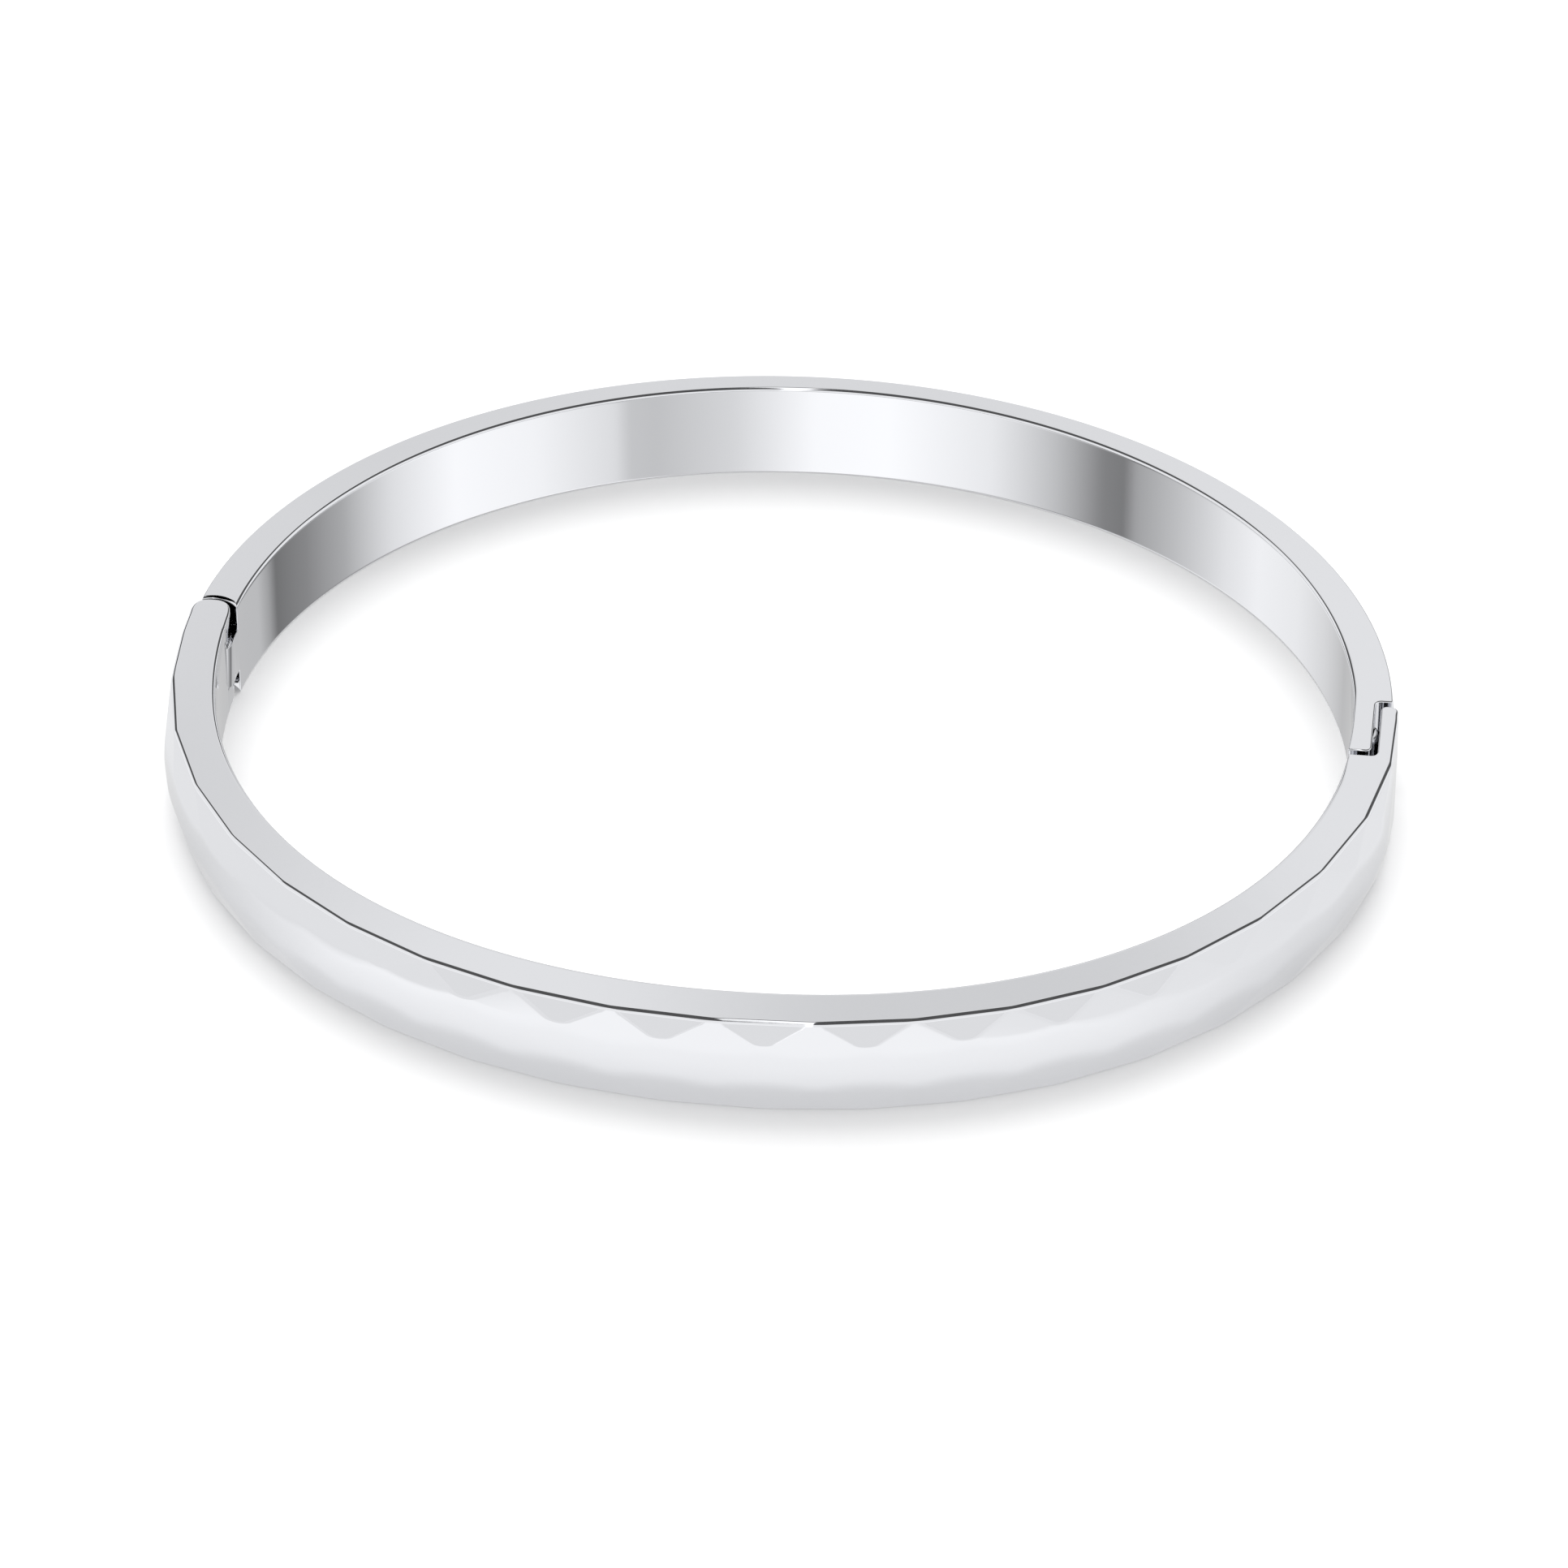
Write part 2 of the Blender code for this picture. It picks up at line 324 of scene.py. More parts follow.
def cut_face(planes, arcs, z):
    """Points of the front half's outer face at these arc lengths and heights."""
    xy = oval_points(angles_at_arcs(arcs, FRONT_OUTER), FRONT_OUTER)
    out = xy / np.linalg.norm(xy, axis=1, keepdims=True)
    top, upper, low, lower = (np.full(len(arcs), FAR_OUT) for _ in range(4))
    for corner, top_cut, upper_neck, low_cut, lower_neck in planes:
        near = np.abs(arcs - corner) < REACH_IN_PITCHES * PITCH
        here = (xy[near], out[near], z[near])
        top[near] = np.minimum(top[near], plane_height(top_cut, *here))
        upper[near] = soft_min(upper[near], plane_height(upper_neck, *here), RIDGE_ROUND)
        low[near] = np.minimum(low[near], plane_height(low_cut, *here))
        lower[near] = soft_min(lower[near], plane_height(lower_neck, *here), RIDGE_ROUND)
    body = soft_min(upper, BELLY * bulge_share(arcs), BELLY_ROUND)
    body = soft_min(body, lower, BELLY_ROUND)
    body = soft_min(body, low, BOTTOM_CREASE)
    return xy + out * soft_min(body, top, TOP_CREASE)[:, None]


# ---------------------------------------------------------------- stacking outlines

def edge_profile(radius):
    """Insets and depths below a rim, from the flat of the rim to the wall."""
    turn = np.linspace(0, math.pi / 2, EDGE_STEPS + 1)
    insets = np.concatenate([[1.0], 1 - np.sin(turn), [0.0]])
    drops = np.concatenate([[0.0], 1 - np.cos(turn), [1.0]])
    holds = np.zeros(len(insets))
    holds[[0, -1]] = HOLD
    inset = radius[:, None] * insets + np.where(insets == 1.0, holds, 0.0)
    drop = radius[:, None] * drops + np.where(insets == 0.0, holds, 0.0)
    return inset, drop


def untangled(points):
    """A closed outline that was moved inwards, with the small loops at its corners pinched."""
    points = points.copy()
    along = np.roll(points, -1, axis=0) - points
    pinched = np.zeros(len(points), bool)
    for gap in range(LOOP_REACH, 1, -1):
        far_along = np.roll(along, -gap, axis=0)
        apart = np.roll(points, -gap, axis=0) - points
        turn = along[:, 0] * far_along[:, 1] - along[:, 1] * far_along[:, 0]
        turn[turn == 0] = np.inf
        near = (apart[:, 0] * far_along[:, 1] - apart[:, 1] * far_along[:, 0]) / turn
        far = (apart[:, 0] * along[:, 1] - apart[:, 1] * along[:, 0]) / turn
        for start in np.flatnonzero((near > 0) & (near < 1) & (far > 0) & (far < 1)):
            inside = (start + 1 + np.arange(gap)) % len(points)
            if not pinched[inside].any():
                points[inside] = points[start] + along[start] * near[start]
                pinched[inside] = True
    return points


def flat_rows(points, z):
    """Rows of 3D points from plan points and one height for each."""
    return np.concatenate([points, np.broadcast_to(z, (len(points),))[:, None]], axis=1)


class Shell:
    """A closed mesh made of columns of points that stand side by side round an outline."""

    def __init__(self):
        self.bm = bmesh.new()
        self.columns = []

    def add(self, rows):
        """Adds one column for each point, from rows of points that run from bottom to top."""
        stack = np.stack(rows, axis=1)
        for column in stack:
            self.columns.append([self.bm.verts.new(point) for point in column])

    def close_sides(self, edge_rows):
        """Faces between neighbouring columns. Where one has more points, one large face joins them."""
        for index, right in enumerate(self.columns):
            left = self.columns[index - 1]
            pairs = []
            if len(left) == len(right):
                pairs = [(left[row:row + 2], right[row:row + 2]) for row in range(len(left) - 1)]
            else:
                for row in range(edge_rows - 1):
                    pairs.append((left[row:row + 2], right[row:row + 2]))
                    pairs.append((left[-row - 2:len(left) - row], right[-row - 2:len(right) - row]))
                pairs.append((left[edge_rows - 1:-edge_rows + 1], right[edge_rows - 1:-edge_rows + 1]))
            for low_left, low_right in pairs:
                self.bm.faces.new(low_left + low_right[::-1])

    def close_rims(self, outer, inner, per_inner):
        """Rim faces: strips between the outer and inner columns, and one face at each end.
        The outer columns run anticlockwise and the inner ones back, so their ends face."""
        count = len(self.columns)
        for row in (0, -1):
            ring = [column[row] for column in self.columns]
            for step in range(inner[1] - inner[0] - 1):
                near = outer[0] + step * per_inner
                far = near + per_inner
                back = inner[1] - 1 - step
                self.bm.faces.new(ring[near:far + 1] + [ring[back - 1], ring[back]])
            self.bm.faces.new(ring[outer[1] - 1:inner[0] + 1])
            self.bm.faces.new([ring[index % count] for index in range(inner[1] - 1, count + outer[0] + 1)])

    def finish(self, name):
        bmesh.ops.remove_doubles(self.bm, verts=self.bm.verts, dist=WELD)
        bmesh.ops.recalc_face_normals(self.bm, faces=self.bm.faces)
        mesh = bpy.data.meshes.new(name)
        self.bm.to_mesh(mesh)
        self.bm.free()
        mesh.shade_smooth()
        mesh.set_sharp_from_angle(angle=SMOOTH_ANGLE)
        thing = bpy.data.objects.new(name, mesh)
        bpy.context.scene.collection.objects.link(thing)
        return thing


def rounded_edge(outline, radius):
    """For each row over a rounded edge, from rim to wall: its points, and depths below the rim."""
    normals = outward(outline)
    inset, drop = edge_profile(radius)
    return [(untangled(outline - normals * inset[:, row, None]), drop[:, row])
            for row in range(inset.shape[1])]


def stack(edge, run, height, middle):
    """Rows of one run of columns: bottom edge, the rows given for the middle, top edge."""
    bottom = [flat_rows(xy[run], z[run]) for xy, z in edge]
    top = [flat_rows(xy[run], height - z[run]) for xy, z in edge[::-1]]
    return bottom + middle + top


def leaf_rows(points, normals, radius, z, upward):
    """Rows over a leaf's edge: from its side wall to its flat end, which faces up or down."""
    turn = np.linspace(math.pi / 2, 0, EDGE_STEPS // 2 + 1)
    rows = []
    for angle in turn:
        xy = points - normals * (radius * (1 - math.sin(angle)))[:, None]
        rows.append(flat_rows(xy, z - upward * radius * (1 - math.cos(angle))))
    return rows


# ---------------------------------------------------------------- the two halves

def knuckle_path(start, end, pin, above):
    """Half a full-cornered oval round the pin's level, from one wall of the band to the other."""
    centre = ((start[0] + end[0]) / 2, pin[1])
    half_width = abs(start[0] - end[0]) / 2
    side = 1 if start[0] > end[0] else -1
    turn = np.linspace(0, math.pi, 33)
    fullness = 2 / KNUCKLE_POWER
    x = centre[0] + side * half_width * np.sign(np.cos(turn)) * np.abs(np.cos(turn)) ** fullness
    y = centre[1] + above * KNUCKLE_RADIUS * np.sin(turn) ** fullness
    return np.stack([x, y], axis=-1)


def thinned(points):
    """Inner points of the front half. Towards the hinge its ears are a little thinner inside."""
    low, high = EAR_THINNING_Y
    share = np.clip((points[:, 1] - low) / (high - low), 0, 1) * (points[:, 0] < 0)
    return points - np.outer(share ** 1.5 * EAR_THINNING, (1, 0))


def rear_half(height, pin):
    clasp_outer = angle_at_y(REAR_SHOULDER_Y, 1, REAR_OUTER)
    seat_outer = angle_on_circle(pin, SEAT_RADIUS, REAR_OUTER, -1, 1) + 2 * math.pi
    seat_inner = angle_on_circle(pin, SEAT_RADIUS, REAR_INNER, -1, 1) + 2 * math.pi
    lip_inner = angle_at_y(REAR_LIP_END_Y, 1, REAR_INNER)

    outer_angles = np.linspace(clasp_outer + END_MARGIN, seat_outer - END_MARGIN, REAR_COLUMNS)
    outer = oval_points(outer_angles, REAR_OUTER)
    inner_angles = np.linspace(seat_inner - END_MARGIN, clasp_outer + END_MARGIN, REAR_COLUMNS)
    inner = oval_points(inner_angles, REAR_INNER)

    # Clasp end: inner face of the lip, its tip, the lap face and the shoulder.
    lip_back = oval_points(np.linspace(clasp_outer, lip_inner + END_MARGIN, 14)[1:], REAR_INNER)
    tip_inner = oval_points(np.array(lip_inner), REAR_INNER)
    tip_outer = (REAR_LIP_FACE_X, REAR_LIP_END_Y)
    lap_end = (REAR_LIP_FACE_X, REAR_SHOULDER_Y)
    shoulder = oval_points(np.array(clasp_outer), REAR_OUTER)
    clasp = np.concatenate([
        lip_back,
        fillet(lip_back[-1], tip_inner, tip_outer, SMALL_CORNER),
        fillet(tip_inner, tip_outer, lap_end, TIP_CORNER),
        line(tip_outer, lap_end, 14)[2:-2],
        fillet(tip_outer, lap_end, shoulder, LAP_CORNER),
        fillet(lap_end, shoulder, outer[0], SMALL_CORNER),
    ])

    # Hinge end: the seat round the ears, and the tongue between them.
    seat_start = oval_points(np.array(seat_outer), REAR_OUTER)
    seat_end = oval_points(np.array(seat_inner), REAR_INNER)
    start_turn = math.atan2(*(seat_start - pin)[::-1])
    end_turn = math.atan2(*(seat_end - pin)[::-1])
    seat = arc(pin, SEAT_RADIUS, start_turn, end_turn, SEAT_STEPS)
    seat = np.concatenate([
        fillet(outer[-1], seat[0], seat[2], SMALL_CORNER / 2), seat[2:-2],
        fillet(seat[-3], seat[-1], inner[0], SMALL_CORNER / 2),
    ])
    wall_down = np.linspace(seat_outer, angle_at_y(pin[1], -1, REAR_OUTER) + 2 * math.pi, WALL_POINTS)
    wall_up = np.linspace(angle_at_y(pin[1], -1, REAR_INNER) + 2 * math.pi, seat_inner, WALL_POINTS)
    wall_down = oval_points(wall_down, REAR_OUTER)
    wall_up = oval_points(wall_up, REAR_INNER)
    tongue = np.concatenate([
        wall_down[:-1], knuckle_path(wall_down[-1], wall_up[0], pin, -1), wall_up[1:]])
    tongue = np.concatenate([seat[:1], resample(tongue, len(seat) - 2), seat[-1:]])

    parts = [outer, seat, inner, clasp]
    outline = np.concatenate(parts)
    rounds = (REAR_OUTER_ROUND, SEAT_ROUND, RIM_ROUND, END_ROUND)
    radius = np.concatenate([np.full(len(part), size) for part, size in zip(parts, rounds)])
    edge = rounded_edge(outline, eased(radius, EASE_WIDTH))
    ends = np.cumsum([0] + [len(part) for part in parts])
    runs = [slice(start, end) for start, end in zip(ends, ends[1:])]

    shell = Shell()
    crown_rows = []
    facing = outward(outline)[runs[0]]
    for share in CROWN_SHARES:
        out = REAR_CROWN * (1 - (2 * share - 1) ** 2)
        crown_rows.append(flat_rows(outer + facing * out, height * share))
    shell.add(stack(edge, runs[0], height, crown_rows))
    shell.add(stack(edge, runs[1], height, hinge_rows(seat, tongue, height, TONGUE_HEIGHT, 1)))
    shell.add(stack(edge, runs[2], height, []))
    shell.add(stack(edge, runs[3], height, []))
    shell.close_sides(EDGE_STEPS + 3)
    shell.close_rims((ends[0], ends[1]), (ends[2], ends[3]), 1)
    return shell.finish("rear_band")


def hinge_rows(outline, other, height, opening, proud):
    """Rows of a hinge end whose middle stands out of the outline (1) or back from it (-1)."""
    low = (height - opening) / 2
    high = (height + opening) / 2
    shell_normals = outward(other) if proud > 0 else outward(outline)
    shell_normals[[0, -1]] = shell_normals[[1, -2]]
    fade = np.clip(np.minimum(np.arange(len(outline)), np.arange(len(outline))[::-1]) / 4, 0, 1)
    radius = LEAF_ROUND * fade
    if proud > 0:
        lower = leaf_rows(other, shell_normals, radius, low, -1)
        upper = leaf_rows(other, shell_normals, radius, high, 1)
        return [flat_rows(outline, low)] + lower[::-1] + upper + [flat_rows(outline, high)]
    lower = leaf_rows(outline, shell_normals, radius, low, 1)
    upper = leaf_rows(outline, shell_normals, radius, high, -1)
    return lower + [flat_rows(other, low), flat_rows(other, high)] + upper[::-1]


def front_half(height, pin):
    planes = diamond_planes(height)

    def face(arcs, z):
        """Outer face in plan, at one height."""
        return cut_face(planes, arcs, np.full(len(arcs), z))

    inner_corner = angle_at_y(FRONT_SEAT_Y, 1, FRONT_INNER)
    pocket_inner = angle_on_circle(pin, SEAT_RADIUS, FRONT_INNER, -1, -1)
    pin_outer = arc_at_angle(angle_at_y(pin[1], -1, FRONT_OUTER), FRONT_OUTER)
    below_pin = np.linspace(pin_outer, pin_outer + 2 * SEAT_RADIUS, 400)
    gaps = np.hypot(*(face(below_pin, height) - pin).T)
    pocket_outer = float(np.interp(SEAT_RADIUS, gaps, below_pin))
    tip_arc = arc_at_angle(angle_at_y(FRONT_LIP_END_Y, 1, FRONT_OUTER), FRONT_OUTER)
    spacing = PITCH / COLUMNS_PER_PITCH

    first = pocket_outer + spacing * 2
    last = tip_arc - OUTER_TIP_CORNER * 1.15
    paired_end = arc_at_angle(inner_corner - END_MARGIN * 6, FRONT_OUTER)
    paired = int((paired_end - first) / spacing / COLUMNS_PER_INNER) * COLUMNS_PER_INNER + 1
    arcs = np.concatenate([
        first + np.arange(paired) * spacing,
        np.linspace(first + paired * spacing, last, int((last - first) / spacing) - paired)])
    outer = face(arcs, height)
    inner_angles = angles_at_arcs(arcs[:paired:COLUMNS_PER_INNER], FRONT_OUTER)[::-1]
    inner_angles[-1] = pocket_inner + END_MARGIN
    inner = thinned(oval_points(inner_angles, FRONT_INNER))

    # Clasp end: tip of the lip, its lap face with the groove for the snap bar, and the seat.
    tip_outer = face(np.array([tip_arc]), height)[0]
    tip_inner = (FRONT_LIP_FACE_X, FRONT_LIP_END_Y)
    lap_corner = (FRONT_LIP_FACE_X, FRONT_SEAT_Y)
    seat_corner = oval_points(np.array(inner_corner), FRONT_INNER)
    seat_back = oval_points(np.linspace(inner_corner - END_MARGIN, inner_angles[0], 6), FRONT_INNER)
    groove_half = SNAP_WIDTH / 2 + GROOVE_FIT
    tip = np.concatenate([
        fillet(outer[-1], tip_outer, tip_inner, OUTER_TIP_CORNER),
        fillet(tip_outer, tip_inner, lap_corner, TIP_CORNER),
    ])
    lap = line((FRONT_LIP_FACE_X, SNAP_Y + groove_half), (FRONT_LIP_FACE_X, SNAP_Y - groove_half), 20)
    seat = np.concatenate([
        fillet(tip_inner, lap_corner, seat_corner, LAP_CORNER),
        fillet(lap_corner, seat_corner, seat_back[0], SMALL_CORNER / 2),
        seat_back[:-1],
    ])
    groove_depth = REAR_LIP_FACE_X + SNAP_PROUD + GROOVE_FIT - FRONT_LIP_FACE_X
    groove = lap.copy()
    groove[:, 0] += groove_depth * np.sin(np.linspace(0, math.pi, len(lap))) ** 0.8

    # Hinge end: the ears, and the pocket that the tongue turns in.
    pocket_start = thinned(oval_points(np.array([pocket_inner]), FRONT_INNER))[0]
    pocket_end = face(np.array([pocket_outer]), height)[0]
    start_turn = math.atan2(*(pocket_start - pin)[::-1])
    end_turn = math.atan2(*(pocket_end - pin)[::-1])
    pocket = arc(pin, SEAT_RADIUS, start_turn, end_turn, SEAT_STEPS)
    pocket = np.concatenate([
        fillet(inner[-1], pocket[0], pocket[2], SMALL_CORNER / 2), pocket[2:-2],
        fillet(pocket[-3], pocket[-1], outer[0], SMALL_CORNER / 2),
    ])
    wall_up = np.linspace(pocket_inner, angle_at_y(pin[1], -1, FRONT_INNER), WALL_POINTS)
    wall_up = thinned(oval_points(wall_up, FRONT_INNER))
    wall_down = face(np.linspace(pin_outer, pocket_outer, WALL_POINTS), height)
    ear = np.concatenate([
        wall_up[:-1], knuckle_path(wall_up[-1], wall_down[0], pin, 1), wall_down[1:]])
    ear = np.concatenate([pocket[:1], resample(ear, len(pocket) - 2), pocket[-1:]])

    parts = [outer, tip, lap, seat, inner, ear]
    outline = np.concatenate(parts)
    rounds = (CUT_RIM_ROUND, END_ROUND, END_ROUND, END_ROUND, RIM_ROUND, EAR_ROUND)
    radius = np.concatenate([np.full(len(part), size) for part, size in zip(parts, rounds)])
    radius = eased(radius, EASE_WIDTH)
    edge = rounded_edge(outline, radius)
    ends = np.cumsum([0] + [len(part) for part in parts])
    runs = [slice(start, end) for start, end in zip(ends, ends[1:])]
    groove_opening = SNAP_HEIGHT + 2 * GROOVE_FIT
    pocket_opening = TONGUE_HEIGHT + 2 * LEAF_GAP

    shell = Shell()
    shell.add(cut_columns(planes, arcs, outward(outline)[runs[0]], radius[runs[0]], height))
    shell.add(stack(edge, runs[1], height, []))
    shell.add(stack(edge, runs[2], height, hinge_rows(lap, groove, height, groove_opening, -1)))
    shell.add(stack(edge, runs[3], height, []))
    shell.add(stack(edge, runs[4], height, []))
    shell.add(stack(edge, runs[5], height, hinge_rows(ear, pocket, height, pocket_opening, -1)))
    shell.close_sides(EDGE_STEPS + 3)
    shell.close_rims((0, paired), (ends[4], ends[5]), COLUMNS_PER_INNER)
    return shell.finish("front_band")


def cut_columns(planes, arcs, normals, radius, height):
    """Rows of the diamond-cut face, with its rims rounded like the rest."""
    inset, drop = edge_profile(radius)
    rows = []
    for row in range(inset.shape[1]):
        rows.append((drop[:, row], inset[:, row]))
    flat = np.zeros(len(arcs))
    for z in np.concatenate([np.arange(*span) for span in CUT_ROWS]) * MM:
        rows.append((flat + z, flat))
    for row in range(inset.shape[1])[::-1]:
        rows.append((height - drop[:, row], inset[:, row]))
    made = []
    for z, back in rows:
        xy = cut_face(planes, arcs, z) - normals * back[:, None]
        made.append(flat_rows(xy, z))
    return made


def snap_bar(height):
    """The snap bar, flat where it is soldered in the rear lip and rounded towards the front lip."""
    half = SNAP_WIDTH / 2
    face_x = REAR_LIP_FACE_X + SNAP_PROUD
    ball = (half ** 2 + SNAP_CROWN ** 2) / (2 * SNAP_CROWN)
    spread = math.asin(half / ball)
    root_x = REAR_LIP_FACE_X - SNAP_ROOT
    crown = arc((face_x - ball, SNAP_Y), ball, -spread, spread, 24)
    outline = np.concatenate([[(root_x, SNAP_Y + half), (root_x, SNAP_Y - half)], crown])
    normals = outward(outline)
    inset, drop = edge_profile(np.full(len(outline), SNAP_ROUND))
    low = (height - SNAP_HEIGHT) / 2
    shell = Shell()
    rows = [flat_rows(outline - normals * inset[:, row, None], low + drop[:, row])
            for row in range(inset.shape[1])]
    rows += [flat_rows(outline - normals * inset[:, row, None], low + SNAP_HEIGHT - drop[:, row])
             for row in range(inset.shape[1])[::-1]]
    shell.add(rows)
    shell.close_sides(EDGE_STEPS + 3)
    for row in (0, -1):
        shell.bm.faces.new([column[row] for column in shell.columns])
    return shell.finish("snap_bar_polished")


# ---------------------------------------------------------------- node helpers

def math_node(tree, operation, first, second=None):
    node = tree.nodes.new("ShaderNodeMath")
    node.operation = operation
    for socket, value in zip(node.inputs, (first, second)):
        if value is None:
            continue
        if isinstance(value, (int, float)):
            socket.default_value = value
        else:
            tree.links.new(value, socket)
    return node.outputs["Value"]


def ramp_node(nodes, stops):
    """A brightness ramp over 0 to 1, from (place, brightness) stops."""
    ramp = nodes.new("ShaderNodeValToRGB")
    elements = ramp.color_ramp.elements
    while len(elements) < len(stops):
        elements.new(0.5)
    for element, (position, _) in zip(elements, stops):
        element.position = position
    for element, (_, value) in zip(elements, stops):
        element.color = (value, value, value, 1.0)
    return ramp


# ---------------------------------------------------------------- materials

STEEL_COLOUR = (0.715, 0.722, 0.745)
STEEL_ROUGHNESS = 0.05
PIN_COLOUR = (0.66, 0.67, 0.69)
PIN_ROUGHNESS = 0.15
CLOUD_SCALE = 160
CLOUD_DETAIL = 3
CLOUD_TONE = 0.985
CLOUD_ROUGHNESS = (0.7, 1.3)
MARK_SCALE = 900
MARK_DETAIL = 4
MARK_STRENGTH = 0.5
MARK_DEPTH = 0.0012 * MM

# The table, and a painted glowing sheet that mirrored rays partly see in it: its brightness against X,
# dimmer to the sides as painted shade in the side walls' reflections, and a factor from the band's outline
# outwards, dimmer near the band as painted contact shade.
FLOOR_SIZE = 3.0
FLOOR_SHADE = 0.9
FLOOR_SEAM = (30.0 * MM, 25.7 * MM, 2.0)
FLOOR_SEAM_POINTS = 120
GLOW_SHADED_AT_SIDES = [(-50 * MM, 0.8), (-38 * MM, 0.8), (-31 * MM, 0.79), (-24 * MM, 1.04),
              (22 * MM, 1.02), (31 * MM, 0.86), (38 * MM, 0.84), (50 * MM, 0.82)]
FLOOR_GLOW_SPAN = 100 * MM
FLOOR_GLOW_START = 0.99
# Painted contact shade: the glowing sheet dims near the band's outline and brightens away from it.
GLOW_SHADED_NEAR_BAND = (1.0, 1.17, 0.87, 1.16)
FLOOR_GLOW_SHARE = 0.75


def polished_steel(name, colour, roughness):
    """Mirror-polished steel: faint tone and roughness clouds, and the finest polishing marks."""
    material = bpy.data.materials.new(name)
    material.use_nodes = True
    nodes, links = material.node_tree.nodes, material.node_tree.links
    shader = nodes["Principled BSDF"]
    shader.inputs["Metallic"].default_value = 1.0
    place = nodes.new("ShaderNodeTexCoord")

    clouds = nodes.new("ShaderNodeTexNoise")
    clouds.inputs["Scale"].default_value = CLOUD_SCALE
    clouds.inputs["Detail"].default_value = CLOUD_DETAIL
    links.new(place.outputs["Object"], clouds.inputs["Vector"])

    tone = nodes.new("ShaderNodeMix")
    tone.data_type = "RGBA"
    tone.inputs["A"].default_value = (*[part * CLOUD_TONE for part in colour], 1.0)
    tone.inputs["B"].default_value = (*colour, 1.0)
    links.new(clouds.outputs["Fac"], tone.inputs["Factor"])
    links.new(tone.outputs["Result"], shader.inputs["Base Color"])

    gloss = nodes.new("ShaderNodeMapRange")
    gloss.inputs["To Min"].default_value = roughness * CLOUD_ROUGHNESS[0]
    gloss.inputs["To Max"].default_value = roughness * CLOUD_ROUGHNESS[1]
    links.new(clouds.outputs["Fac"], gloss.inputs["Value"])
    links.new(gloss.outputs["Result"], shader.inputs["Roughness"])

    marks = nodes.new("ShaderNodeTexNoise")
    marks.inputs["Scale"].default_value = MARK_SCALE
    marks.inputs["Detail"].default_value = MARK_DETAIL
    links.new(place.outputs["Object"], marks.inputs["Vector"])
    bump = nodes.new("ShaderNodeBump")
    bump.inputs["Strength"].default_value = MARK_STRENGTH
    bump.inputs["Distance"].default_value = MARK_DEPTH
    links.new(marks.outputs["Fac"], bump.inputs["Height"])
    links.new(bump.outputs["Normal"], shader.inputs["Normal"])
    return material


def table_white_with_painted_glow():
    """Matte white. Mirrored rays see it partly as a painted glowing sheet, so the contact shadows, which
    the lens sees in full, show softly in the polished walls. The sheet is painted light, dimmer to the
    sides and near the band as painted shade."""
    material = bpy.data.materials.new("table_white_with_painted_glow")
    material.use_nodes = True
    nodes, links = material.node_tree.nodes, material.node_tree.links
    shader = nodes["Principled BSDF"]
    shader.inputs["Base Color"].default_value = (FLOOR_SHADE, FLOOR_SHADE, FLOOR_SHADE, 1.0)
    shader.inputs["Roughness"].default_value = 1.0
    shader.inputs["Specular IOR Level"].default_value = 0.0
    place = nodes.new("ShaderNodeTexCoord")
    tree = material.node_tree
    split = nodes.new("ShaderNodeSeparateXYZ")
    links.new(place.outputs["Object"], split.inputs["Vector"])
    from_left = math_node(tree, "MULTIPLY_ADD", split.outputs["X"], 1 / FLOOR_GLOW_SPAN)
    from_left.node.inputs[2].default_value = 0.5
    # Painted shade in reflections: the glowing sheet is dimmer to the sides, where the side walls mirror
    # it.
    across = ramp_node(nodes, [(x / FLOOR_GLOW_SPAN + 0.5, value) for x, value in GLOW_SHADED_AT_SIDES])
    links.new(from_left, across.inputs["Fac"])

    # How far a point lies from the middle, as a share of the band's outline in its direction.
    squeezed = nodes.new("ShaderNodeVectorMath")
    squeezed.operation = "DIVIDE"
    squeezed.inputs[1].default_value = (FRONT_OUTER[0], FRONT_OUTER[1], 1.0)
    links.new(place.outputs["Object"], squeezed.inputs[0])
    reach = nodes.new("ShaderNodeVectorMath")
    reach.operation = "LENGTH"
    links.new(squeezed.outputs["Vector"], reach.inputs[0])
    # Painted contact shade in reflections: the glowing sheet is dimmer near the band's outline, brighter
    # further out.
    outwards = nodes.new("ShaderNodeMapRange")
    outwards.interpolation_type = "SMOOTHSTEP"
    for name, value in zip(("From Min", "From Max", "To Min", "To Max"), GLOW_SHADED_NEAR_BAND):
        outwards.inputs[name].default_value = value
    links.new(reach.outputs["Value"], outwards.inputs["Value"])
    # The painted glowing sheet: emission that mirrored rays see in place of part of the lit table.
    sheet = nodes.new("ShaderNodeEmission")
    links.new(math_node(tree, "MULTIPLY", across.outputs["Color"], outwards.outputs["Result"]),
              sheet.inputs["Strength"])
    ray = nodes.new("ShaderNodeLightPath")
    beyond = math_node(tree, "GREATER_THAN", reach.outputs["Value"], FLOOR_GLOW_START)
    mirrored = math_node(tree, "MULTIPLY", ray.outputs["Is Glossy Ray"], beyond)
    share = math_node(tree, "MULTIPLY", mirrored, FLOOR_GLOW_SHARE)
    both = nodes.new("ShaderNodeMixShader")
    links.new(share, both.inputs["Fac"])
    links.new(shader.outputs["BSDF"], both.inputs[1])
    links.new(sheet.outputs["Emission"], both.inputs[2])
    links.new(both.outputs["Shader"], nodes["Material Output"].inputs["Surface"])
    return material


# ---------------------------------------------------------------- studio

# The camera looks down at the bangle from the front, far away through a long lens.
CAMERA_AZIMUTH = math.radians(6.2)
CAMERA_ELEVATION = math.radians(38.96)
CAMERA_DISTANCE = 0.45
CAMERA_LENS = 201.8
AIM_BELOW = 3.04 * MM
AIM_RIGHT = -0.05 * MM


